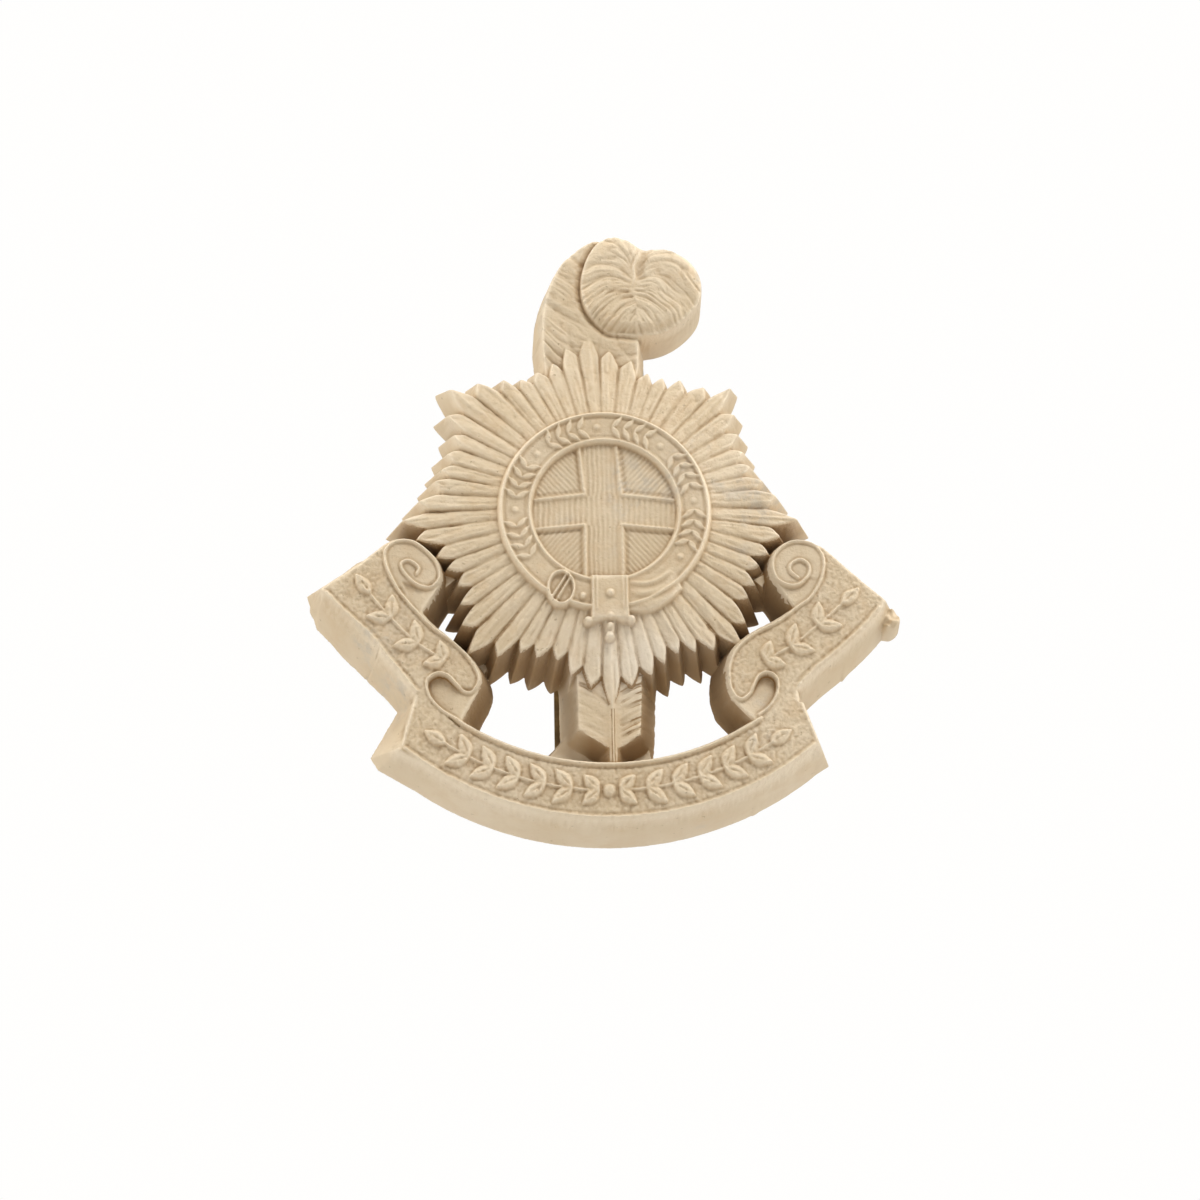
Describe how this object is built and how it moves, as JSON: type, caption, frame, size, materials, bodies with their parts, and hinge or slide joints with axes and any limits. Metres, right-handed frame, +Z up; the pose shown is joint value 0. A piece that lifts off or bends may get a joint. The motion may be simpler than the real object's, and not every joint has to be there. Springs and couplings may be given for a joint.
{
  "type": "cap badge",
  "caption": "Moulded economy cap badge with rayed star, buckled strap, cross, plume and ribbon scroll, and folding brass blades behind.",
  "frame": {"origin": "on the flat back, behind the centre of the strap", "axes": "+Z up towards the plume as the badge is worn, +X to the right of someone facing it, +Y out of the back"},
  "size_m": [0.045, 0.0085, 0.0497],
  "materials": {
    "acetate": "satin moulded cellulose acetate, tan, handled",
    "brass": "dull, aged rolled strip"
  },
  "bodies": {
    "badge": {"moulding": "acetate", "upper_blade_root": "brass", "lower_blade_root": "brass"},
    "upper_blade": {"upper_blade": "brass"},
    "lower_blade": {"lower_blade": "brass"}
  },
  "joints": [
    {"name": "upper_blade_fold", "type": "hinge", "parent": "badge", "child": "upper_blade", "pos_m": [0, 0.0024, 0.007], "axis": [-1, 0, 0], "range_deg": [0, 90]},
    {"name": "lower_blade_fold", "type": "hinge", "parent": "badge", "child": "lower_blade", "pos_m": [0, 0.0024, -0.007], "axis": [1, 0, 0], "range_deg": [0, 90]}
  ]
}
